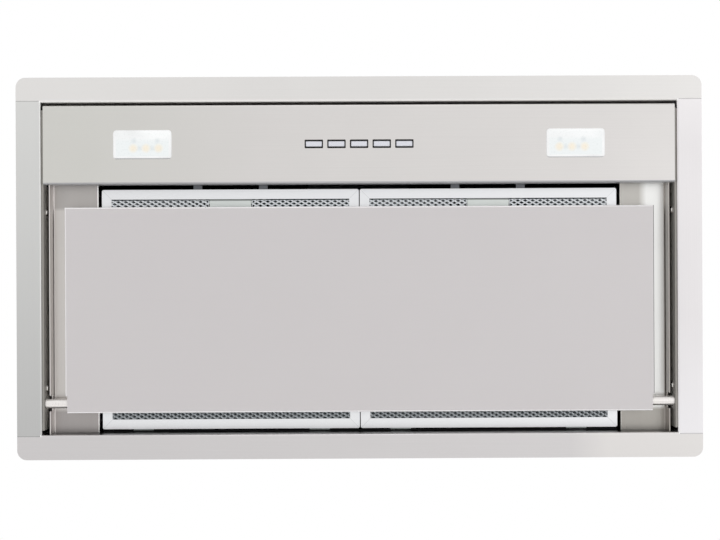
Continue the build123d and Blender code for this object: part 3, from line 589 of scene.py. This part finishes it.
def milky_lens(name, low, high, chips, marks, edge_shadow_share):
    """Diffuser with a white rim, a cooler pane, a painted shadow along its rear edge, warm spots and grey
    marks.
    """
    rim = 2.2 * mm
    rim_blend = 1.2 * mm
    front_band = 8 * mm
    pane_from = 12 * mm
    front_cool = 0.2
    edge_shadow_start = 1.3 * mm
    edge_shadow_full = 0.9 * mm
    material = moulded_plastic(name, display_colour(246, 247, 248), roughness=0.3, fleck=2 * mm)
    tree, shader = shader_of(material)
    side, end = from_edges(tree, low, high)
    in_pane = rises(tree, combine(tree, "MINIMUM", side, end), rim, rim + rim_blend)
    lens_y = object_axes(tree)["Y"]
    off_front = spread(tree, lens_y, front_cool, 1, low.y + front_band, low.y + pane_from)
    tint(tree, shader, combine(tree, "MULTIPLY", in_pane, off_front), display_colour(238, 242, 243))
    # Painted shadow: a grey line along the lens' rear edge.
    rear_edge_shadow = spread(tree, lens_y, 0, edge_shadow_share, high.y - edge_shadow_start, high.y - edge_shadow_full)
    tint(tree, shader, rear_edge_shadow, display_colour(140, 140, 141))
    shadow = soft_spots(tree, marks, strength=0.6, core=0.8 * mm, reach=3.6 * mm)
    tint(tree, shader, shadow, display_colour(216, 222, 225))
    glow = soft_spots(tree, chips, strength=0.85, core=2 * mm, reach=5.4 * mm)
    tint(tree, shader, glow, display_colour(245, 235, 216))
    return material


def row_along_x(middle, steps):
    """Places beside a middle one, at steps of the chips' pitch."""
    return [middle + Vector((step * chip_pitch, 0, 0)) for step in steps]


chip_height = 1 * mm
chip_pitch = 12.9 * mm
chip_steps = (-1, 0, 1)
solder_steps = (-0.5, 0.5)
clip_steps = (-0.95, 0.9)
chips_rearwards = 3.8 * mm
chips_inwards = 3.7 * mm
clips_forwards = 7.6 * mm
white_plastic = moulded_plastic("white_moulding", display_colour(240, 240, 238), roughness=0.35)
for side, sign, edge_shadow_share in (("left", -1, 0.65), ("right", 1, 0.5)):
    board_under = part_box(f"{side}_lamp_board")[0].z + chip_height
    dress(lamp_board_finish(f"{side}_lamp_board", board_under), f"{side}_lamp_board")
    dress(white_plastic, f"{side}_lamp_housing")
    lens_low, lens_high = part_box(f"{side}_lamp_lens")
    middle = (lens_low + lens_high) / 2
    chip_middle = Vector((middle.x - sign * chips_inwards, middle.y + chips_rearwards, lens_low.z))
    clip_middle = chip_middle - Vector((0, clips_forwards, 0))
    chips = row_along_x(chip_middle, chip_steps)
    marks = row_along_x(chip_middle, solder_steps) + row_along_x(clip_middle, clip_steps)
    lens = milky_lens(f"{side}_milky_lens", lens_low, lens_high, chips, marks, edge_shadow_share)
    dress(lens, f"{side}_lamp_lens")


# Push buttons: five plastic caps with a silver lacquer, which slide in a black carrier behind the strip's
# windows. A small laminate board above them carries one switch for each.
def silver_lacquer(name, tone):
    """Lacquer with fine metal flakes."""
    flake_size = 0.25 * mm
    material, tree, shader = new_finish(name)
    flake = grain(tree, even(flake_size), detail=1)
    tone_shades(tree, shader, flake, tone, darker=0.95, paler=1.05)
    vary_roughness(tree, shader, flake, low=0.26, high=0.36)
    shader.inputs["Metallic"].default_value = 0.35
    relief(tree, shader, flake, strength=0.03, distance=0.03 * mm)
    return material


button_lacquer = silver_lacquer("silver_lacquer", display_colour(219, 220, 228))
carrier_plastic = moulded_plastic("carrier_moulding", display_colour(14, 14, 15), roughness=0.7)
laminate = moulded_plastic("board_laminate", display_colour(190, 196, 170), roughness=0.5)
dress(button_lacquer, "light_button", "off_button", "low_button", "medium_button", "high_button")
dress(carrier_plastic, "button_carrier", "tact_switches")
dress(laminate, "button_board")


# Side plates and rear rail: satin stainless shelves beside the filters, brushed front to back. The right
# plate's paler face and the tones of the lips and cut edges are painted light and shade, and the ends
# that the panel doesn't cover carry a painted shade. The rail is a dark strip on the rear wall, a painted
# shade, and its paler lugs carry the filters' rear edges.
panel_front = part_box("suction_panel")[0].y
panel_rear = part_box("suction_panel")[1].y
plate_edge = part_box("right_side_plate")[0].x
lip_width = 2 * mm
lip_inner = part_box("right_side_plate")[1].x - lip_width
lip_blend = 0.6 * mm
bright_band = 26 * mm
bright_blend = 8 * mm
past_panel = 1 * mm
under_panel = 3 * mm
cut_edge_width = 1 * mm
cut_edge_blend = 0.4 * mm


def plate_steel(name, face, front_end_shade, rear_end_shade, lip, cut_edge, bright_from):
    """Satin shelf with a painted shade on its front end, as far out as the bright band, and on its rear
    end behind the panel. Its lip and cut edge tones are painted light and shade.
    """
    material = brushed_steel(name, face, along_y, roughness=0.32, contrast=0.01)
    tree, shader = shader_of(material)
    axes = object_axes(tree)
    out = combine(tree, "ABSOLUTE", axes["X"])
    before_panel = falls(tree, axes["Y"], panel_front - past_panel, panel_front + under_panel)
    behind_panel = rises(tree, axes["Y"], panel_rear - under_panel, panel_rear + past_panel)
    inner_part = falls(tree, out, bright_from, bright_from + bright_blend)
    on_edge = plate_edge + cut_edge_width
    # Painted shade: the ends that the panel doesn't cover are darker.
    tint(tree, shader, combine(tree, "MULTIPLY", before_panel, inner_part), front_end_shade)
    tint(tree, shader, behind_panel, rear_end_shade)
    # Painted light and shade: the lip and the cut edge get tones of their own.
    tint(tree, shader, rises(tree, out, lip_inner - lip_blend, lip_inner), lip)
    tint(tree, shader, falls(tree, out, on_edge, on_edge + cut_edge_blend), cut_edge)
    return material


left_plate_steel = plate_steel(
    "left_plate_steel",
    face=display_colour(214, 210, 206),
    front_end_shade=display_colour(183, 179, 176),
    rear_end_shade=display_colour(174, 169, 167),
    lip=display_colour(224, 219, 216),
    cut_edge=display_colour(253, 252, 250),
    bright_from=lip_inner,
)
# Painted light: the right plate's face is paler than the left one's.
right_plate_steel = plate_steel(
    "right_plate_steel",
    face=display_colour(241, 241, 239),
    front_end_shade=display_colour(192, 189, 184),
    rear_end_shade=display_colour(175, 171, 165),
    lip=display_colour(176, 171, 166),
    cut_edge=display_colour(215, 212, 206),
    bright_from=lip_inner - bright_band,
)
dress(left_plate_steel, "left_side_plate")
dress(right_plate_steel, "right_side_plate")

lug_rail_sheet = 1 * mm
lug_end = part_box("rear_filter_rail")[1].y - lug_rail_sheet
lug_blend = 0.2 * mm
# Painted shade: the rail is made dark, and its lugs keep a paler tone.
rail_shade_tone = display_colour(44, 44, 45)
lug_rail_steel = brushed_steel("filter_rail_steel", rail_shade_tone, along_x, roughness=0.5, contrast=0.03)
lug_tree, lug_shader = shader_of(lug_rail_steel)
on_lug = falls(lug_tree, object_axes(lug_tree)["Y"], lug_end - lug_blend, lug_end)
tint(lug_tree, lug_shader, on_lug, display_colour(196, 204, 202))
dress(lug_rail_steel, "rear_filter_rail")


# Grease filters: mitred aluminium frames round layers of expanded mesh, with a sliding latch plate at the
# front. The mesh is slit and stretched sheet, so its strands lean.
filter_tone = display_colour(250, 251, 253)
filter_lip = 10 * mm
shaded_edge = filter_front + filter_lip
cell_length = 7.75 * mm
cell_width = 4.2 * mm
strand_width = 1.5 * mm
strand_sheet = 0.3 * mm
strand_lean = 0.2 * mm
least_open_share = 0.45
cut_tolerance = 1e-7


def filter_aluminium(name, tone, low, high):
    """Satin aluminium, darker along the front, with a fine mitre line across each corner of the frame."""
    satin_size = 1.2 * mm
    mitre = 0.2 * mm
    front_shade = 0.93
    mitre_shade = 0.78
    material, tree, shader = new_finish(name)
    satin = grain(tree, even(satin_size))
    tone_shades(tree, shader, satin, tone, darker=0.97, paler=1.03)
    along_front = falls(tree, object_axes(tree)["Y"], low.y + filter_lip, low.y + 2 * filter_lip)
    tint(tree, shader, along_front, scaled(tone, front_shade))
    side, end = from_edges(tree, low, high)
    off_line = combine(tree, "ABSOLUTE", combine(tree, "SUBTRACT", side, end))
    on_line = falls(tree, off_line, mitre, 2 * mitre)
    near_corner = falls(tree, combine(tree, "MAXIMUM", side, end), filter_lip, filter_lip + mitre)
    tint(tree, shader, combine(tree, "MULTIPLY", on_line, near_corner), scaled(tone, mitre_shade))
    vary_roughness(tree, shader, satin, low=0.3, high=0.38)
    shader.inputs["Metallic"].default_value = 1
    relief(tree, shader, satin, strength=0.05, distance=0.05 * mm)
    return material


def slit_sheet(low, high, height):
    """A grid turned and stretched into diamonds of the mesh's pitch, and cut to a rectangle."""
    spare_cells = 2
    quarter = math.pi / 4
    middle = (low + high) / 2
    reach = high - low
    count = math.ceil(reach.x / cell_length + reach.y / cell_width) + spare_cells
    mesh = bmesh.new()
    bmesh.ops.create_grid(mesh, x_segments=count, y_segments=count, size=count / 2)
    bmesh.ops.rotate(mesh, verts=mesh.verts, matrix=Matrix.Rotation(quarter, 3, "Z"))
    stretch = Vector((cell_length, cell_width, 1)) * math.cos(quarter)
    bmesh.ops.scale(mesh, verts=mesh.verts, vec=stretch)
    bmesh.ops.translate(mesh, verts=mesh.verts, vec=(middle.x, middle.y, height))
    cuts = [(low, (-1, 0, 0)), (low, (0, -1, 0)), (high, (1, 0, 0)), (high, (0, 1, 0))]
    for point, outwards in cuts:
        geometry = mesh.verts[:] + mesh.edges[:] + mesh.faces[:]
        bmesh.ops.bisect_plane(mesh, geom=geometry, dist=cut_tolerance, plane_co=point, plane_no=outwards,
                               clear_outer=True)
    return mesh


def faces_before(mesh, left, right, rear):
    """Faces whose middles lie between two sides and before a rear line."""
    found = []
    for face in mesh.faces:
        spot = face.calc_center_median()
        if left < spot.x < right and spot.y < rear:
            found.append(face)
    return found


def free_window(mesh, low, high):
    """Cuts the cells round the latch's window along its edges and takes out those inside it."""
    half_length = cell_length / 2
    half_width = cell_width / 2
    for point, across in ((low, (1, 0, 0)), (high, (1, 0, 0)), (high, (0, 1, 0))):
        beside = []
        for face in faces_before(mesh, low.x - half_length, high.x + half_length, high.y + half_width):
            beside += [*face.verts, *face.edges, face]
        around = list(dict.fromkeys(beside))
        bmesh.ops.bisect_plane(mesh, geom=around, dist=cut_tolerance, plane_co=point, plane_no=across)
    inside = faces_before(mesh, low.x, high.x, high.y)
    bmesh.ops.delete(mesh, geom=inside, context="FACES")


def open_cells(mesh):
    """Opens each cell but the small cut ones, leans the strands round it and thickens the sheet."""
    least_area = least_open_share * cell_length * cell_width / 2
    cells = [face for face in mesh.faces if face.calc_area() > least_area]
    inset = bmesh.ops.inset_individual(mesh, faces=cells, thickness=strand_width / 2,
                                       use_even_offset=True)
    strands = set(inset["faces"])
    holes = [face for face in cells if face not in strands]
    for hole in holes:
        centre = hole.calc_center_median()
        for vert in hole.verts:
            vert.co.z += strand_lean * (vert.co.y - centre.y) / (cell_width / 4)
    bmesh.ops.delete(mesh, geom=holes, context="FACES_ONLY")
    bmesh.ops.recalc_face_normals(mesh, faces=mesh.faces)
    bmesh.ops.solidify(mesh, geom=mesh.faces[:], thickness=strand_sheet)


def mesh_aluminium():
    """Bright strands that are shaded towards the rear, and under the frame's front lip."""
    shade_start = 40 * mm
    shade_end = 150 * mm
    rear_shade = 0.5
    mark_size = 2 * mm
    lip_shadow = shaded_edge + 1 * mm
    lip_blend = 0.4 * mm
    mesh_tone = display_colour(243, 247, 250)
    material = bright_metal("mesh_aluminium", mesh_tone, even(mark_size), roughness=0.4)
    tree, shader = shader_of(material)
    mesh_y = object_axes(tree)["Y"]
    toward_rear = spread(tree, mesh_y, 0, rear_shade, shade_start, shade_end)
    tint(tree, shader, toward_rear, display_colour(104, 114, 120))
    under_lip = falls(tree, mesh_y, lip_shadow, lip_shadow + lip_blend)
    tint(tree, shader, under_lip, display_colour(72, 78, 82))
    return material


def layered_mesh(name):
    """Deeper layers of mesh in painted shade, dark with the light strands of the next layer."""
    half_cell = 0.5
    dull_patch = 3 * mm
    strand_edge = 0.08
    hole_edge = 0.16
    material, tree, shader = new_finish(name)
    lattice = add_node(tree, "ShaderNodeMapping", {"Scale": (1 / cell_length, 1 / cell_width, 1)})
    axes = add_node(tree, "ShaderNodeSeparateXYZ")
    tree.links.new(object_place(tree), lattice.inputs["Vector"])
    tree.links.new(lattice.outputs["Vector"], axes.inputs["Vector"])
    slopes = []
    for operation in ("ADD", "SUBTRACT"):
        slope = combine(tree, operation, axes.outputs["X"], axes.outputs["Y"])
        slopes.append(combine(tree, "PINGPONG", slope, half_cell))
    nearest = combine(tree, "MINIMUM", *slopes)
    strand_tone = display_colour(84, 91, 95)
    hole_tone = display_colour(24, 29, 32)
    # Painted shade: the deeper layers are dark, their holes darkest.
    base_shades(tree, shader, nearest, strand_tone, hole_tone, strand_edge, hole_edge)
    shader.inputs["Metallic"].default_value = 0.6
    vary_roughness(tree, shader, grain(tree, even(dull_patch)), low=0.4, high=0.55)
    return material


def latch_aluminium(name, tone, middle_x):
    """Satin handle on a plate that is dark behind the mesh, a painted shade, with a painted shadow under
    the frame's front lip; before the frame the plate shows as darker tongues.
    """
    draw_marks = (30 * mm, 1 * mm, 1 * mm)
    handle_blend = 0.3 * mm
    lip_shadow = shaded_edge + 1.4 * mm
    lip_blend = 0.8 * mm
    front_blend = 0.5 * mm
    material = bright_metal(name, tone, draw_marks, roughness=0.4)
    tree, shader = shader_of(material)
    axes = object_axes(tree)
    off_middle = combine(tree, "ABSOLUTE", combine(tree, "SUBTRACT", axes["X"], middle_x))
    off_handle = rises(tree, off_middle, handle_half, handle_half + handle_blend)
    # Painted shade: beside the handle, behind the mesh, the plate is dark.
    tint(tree, shader, off_handle, display_colour(40, 44, 47))
    under_lip = falls(tree, axes["Y"], lip_shadow, lip_shadow + lip_blend)
    tint(tree, shader, under_lip, display_colour(152, 156, 154))
    before_frame = falls(tree, axes["Y"], filter_front - front_blend, filter_front + front_blend)
    tint(tree, shader, before_frame, display_colour(120, 122, 126))
    return material


mesh_under_lip = 4 * mm
handle_width = 43 * mm
handle_gap = 0.8 * mm
handle_half = handle_width / 2 + handle_gap
latch_travel = 6 * mm
latch_tone = display_colour(230, 235, 232)
mesh_inset = Vector((filter_lip - mesh_under_lip, filter_lip - mesh_under_lip, 0))
strand_metal = mesh_aluminium()
pack_metal = layered_mesh("mesh_layers")
for side in ("left", "right"):
    low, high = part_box(f"{side}_filter_frame")
    dress(filter_aluminium(f"{side}_filter_aluminium", filter_tone, low, high), f"{side}_filter_frame")
    latch_low, latch_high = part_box(f"{side}_filter_latch")
    latch_middle = (latch_low.x + latch_high.x) / 2
    dress(latch_aluminium(f"{side}_latch_aluminium", latch_tone, latch_middle), f"{side}_filter_latch")
    sheet_low, sheet_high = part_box(f"{side}_filter_mesh")
    middle_x = (low.x + high.x) / 2
    window_low = Vector((middle_x - handle_half, low.y, 0))
    window_high = Vector((middle_x + handle_half, latch_high.y + latch_travel + handle_gap, 0))
    lattice = slit_sheet(low + mesh_inset, high - mesh_inset, (sheet_low.z + sheet_high.z) / 2)
    free_window(lattice, window_low, window_high)
    open_cells(lattice)
    lattice_piece = new_piece(f"{side}_expanded_mesh", lattice, strand_metal, "hood")
    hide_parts(f"{side}_filter_mesh")
    dress(pack_metal, f"{side}_filter_pack")


# Magnet catches: black moulded blocks that are fixed under the side plates.
# They hold the suction panel shut at its two arms.
dress(black_plastic, "left_magnet_catch", "right_magnet_catch")


# Suction panel: a flat tray of satin stainless sheet with folded edges, on two angle arms. Its turned pins
# sit in the hinge rails, so it swings down at the front. The folds carry a painted highlight, the right
# one a painted shade.
def panel_steel(name, tone, low, high):
    """Satin sheet whose folded edges are glossier and carry a painted highlight, with a painted shade on
    the right fold.
    """
    bend = 1 * mm
    flat_from = 1.5 * bend
    right_blend = 1.3 * bend
    material = brushed_steel(name, tone, along_x, roughness=0.45, contrast=0.008)
    tree, shader = shader_of(material)
    side, end = from_edges(tree, low, high)
    edge = combine(tree, "MINIMUM", side, end)
    # Painted highlight: the folded edges are tinted near white.
    tint(tree, shader, falls(tree, edge, bend, flat_from), display_colour(250, 248, 249))
    right_fold_shade = rises(tree, object_axes(tree)["X"], high.x - right_blend, high.x - bend)
    # Painted shade: the right fold is darker.
    tint(tree, shader, right_fold_shade, display_colour(150, 148, 149))
    satin = shader.inputs["Roughness"].links[0].from_socket
    burnished = spread(tree, edge, low=0.28, high=1, start=bend, end=flat_from)
    tree.links.new(combine(tree, "MINIMUM", satin, burnished), shader.inputs["Roughness"])
    metallic = spread(tree, edge, low=0.2, high=0.4, start=bend, end=flat_from)
    tree.links.new(metallic, shader.inputs["Metallic"])
    return material


sheet_steel = panel_steel("panel_steel", display_colour(207, 203, 204), *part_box("suction_panel"))
pin_marks = (0.4 * mm, 5 * mm, 5 * mm)
pin_tone = display_colour(248, 244, 241)
pin_steel = bright_metal("satin_pin", pin_tone, pin_marks, roughness=0.3, metallic=0.8)
dress(sheet_steel, "suction_panel")
dress(rail_steel, "left_panel_arm", "right_panel_arm")
dress(pin_steel, "left_pivot_pin", "right_pivot_pin")


# Stage: a pale floor far below, as the hood hangs over a room. Seen directly or mirrored it glows white
# towards the window and a little darker away from it and further out, a painted light. To other light it
# is matt and takes shadows.
def white_when_seen(tree, direct_share=1):
    """Share of white for a ray that is seen directly, in a mirror or through a clear piece."""
    path = add_node(tree, "ShaderNodeLightPath")
    direct = combine(tree, "MULTIPLY", path.outputs["Is Camera Ray"], direct_share)
    mirrored = combine(tree, "MAXIMUM", direct, path.outputs["Is Glossy Ray"])
    return combine(tree, "MAXIMUM", mirrored, path.outputs["Is Transmission Ray"])


floor_level = -2.9
floor_half = 12
horizon_level = 0.78
shade_level = 0.86
window_direction = (0.7, -0.7, 0)
shade_reach = -1.2
window_reach = 0.6
falloff_start = 1.2
falloff_end = 3.2
floor_cloud_size = 0.4


def pale_floor(name):
    material, tree, shader = new_finish(name)
    cloud = grain(tree, even(floor_cloud_size), detail=2)
    base_shades(tree, shader, cloud, display_colour(238, 238, 237), display_colour(243, 243, 242))
    shader.inputs["Roughness"].default_value = 0.8
    toward_window = add_node(tree, "ShaderNodeVectorMath", {1: window_direction}, operation="DOT_PRODUCT")
    tree.links.new(object_place(tree), toward_window.inputs[0])
    slope = spread(tree, toward_window.outputs["Value"], shade_level, 1, shade_reach, window_reach)
    from_middle = distance_from(tree, (0, 0, floor_level))
    falloff = spread(tree, from_middle, 1, horizon_level, falloff_start, falloff_end)
    white = add_node(tree, "ShaderNodeEmission", {"Color": (1, 1, 1, 1)})
    # Painted light: the floor's glow is white towards the window and dimmer away from it and further out.
    tree.links.new(combine(tree, "MINIMUM", slope, falloff), white.inputs["Strength"])
    mix = add_node(tree, "ShaderNodeMixShader")
    tree.links.new(white_when_seen(tree, direct_share=0.7), mix.inputs[0])
    tree.links.new(shader.outputs["BSDF"], mix.inputs[1])
    tree.links.new(white.outputs["Emission"], mix.inputs[2])
    tree.links.new(mix.outputs["Shader"], tree.nodes["Material Output"].inputs["Surface"])
    return material


floor_mesh = bmesh.new()
bmesh.ops.create_grid(floor_mesh, x_segments=1, y_segments=1, size=floor_half,
                      matrix=Matrix.Translation((0, 0, floor_level)))
floor = new_object("floor", floor_mesh, pale_floor("pale_floor"))


# Room light: a pale room, white overhead and a little darker towards the horizon, with soft boxes low on
# all four sides, which draw bright lines along the folds, and a window light to the right. One more lamp
# lights the hood from above.
ambient_level = 0.97
horizon_top = 0.1
white_from = 0.8
world = bpy.data.worlds.new("pale_room")
world.use_nodes = True
bpy.context.scene.world = world
room_tree = world.node_tree
sky = room_tree.nodes["Background"]
direction = add_node(room_tree, "ShaderNodeTexCoord")
upwards = add_node(room_tree, "ShaderNodeSeparateXYZ")
room_tree.links.new(direction.outputs["Generated"], upwards.inputs["Vector"])
seen_level = spread(room_tree, upwards.outputs["Z"], horizon_level, 1, horizon_top, white_from)
ambient_socket, seen_socket = 2, 3
level = add_node(room_tree, "ShaderNodeMix", {ambient_socket: ambient_level}, data_type="FLOAT")
room_tree.links.new(white_when_seen(room_tree), level.inputs["Factor"])
room_tree.links.new(seen_level, level.inputs[seen_socket])
room_tree.links.new(level.outputs["Result"], sky.inputs["Strength"])
sky.inputs["Color"].default_value = (1, 1, 1, 1)


def softbox(name, place, target, size, power, mirrored=True):
    lamp = bpy.data.lights.new(name, "AREA")
    lamp.shape = "SQUARE"
    lamp.size = size
    lamp.energy = power
    lamp_object = bpy.data.objects.new(name, lamp)
    lamp_object.location = place
    aim = Vector(target) - Vector(place)
    lamp_object.rotation_mode = "QUATERNION"
    lamp_object.rotation_quaternion = aim.to_track_quat("-Z", "Y")
    lamp_object.visible_camera = False
    lamp_object.visible_glossy = mirrored
    bpy.context.scene.collection.objects.link(lamp_object)


box_reach = 1.9
box_level = -1.3
box_size = 1.2
box_power = 3
front_box_power = 3.3
hood_centre = (0, 0, 0.05)
hood_upper = (0, 0, 0.15)
for name, x, y, power in (
    ("right_box", box_reach, 0, box_power),
    ("left_box", -box_reach, 0, box_power),
    ("front_box", 0, -box_reach, front_box_power),
    ("rear_box", 0, box_reach, box_power),
):
    softbox(name, (x, y, box_level), hood_centre, box_size, power)
softbox("window_light", place=(1.5, -0.3, -2), target=hood_centre, size=1.4, power=2)
softbox("overhead", place=(0.4, -0.8, 2.2), target=hood_upper, size=1.8, power=8, mirrored=False)


# Camera: below the hood, looking up, with the front edge at the top of the picture.
# A slight pan and roll set it as the photograph was taken.
sensor_width = 36
focal_length = 73.45
camera_place = (-6.5 * mm, 2.6 * mm, -1.5)
pan_degrees = 0.26
roll_degrees = 0.27
scene = bpy.context.scene
scene.view_settings.view_transform = "Standard"
camera_data = bpy.data.cameras.new("camera")
camera_data.sensor_width = sensor_width
camera_data.lens = focal_length
camera = bpy.data.objects.new("camera", camera_data)
looking_up = Matrix(((1, 0, 0), (0, -1, 0), (0, 0, -1)))
pan = Matrix.Rotation(math.radians(pan_degrees), 3, "Y")
roll = Matrix.Rotation(math.radians(roll_degrees), 3, "Z")
camera.matrix_world = Matrix.Translation(camera_place) @ (pan @ roll @ looking_up).to_4x4()
scene.collection.objects.link(camera)
scene.camera = camera
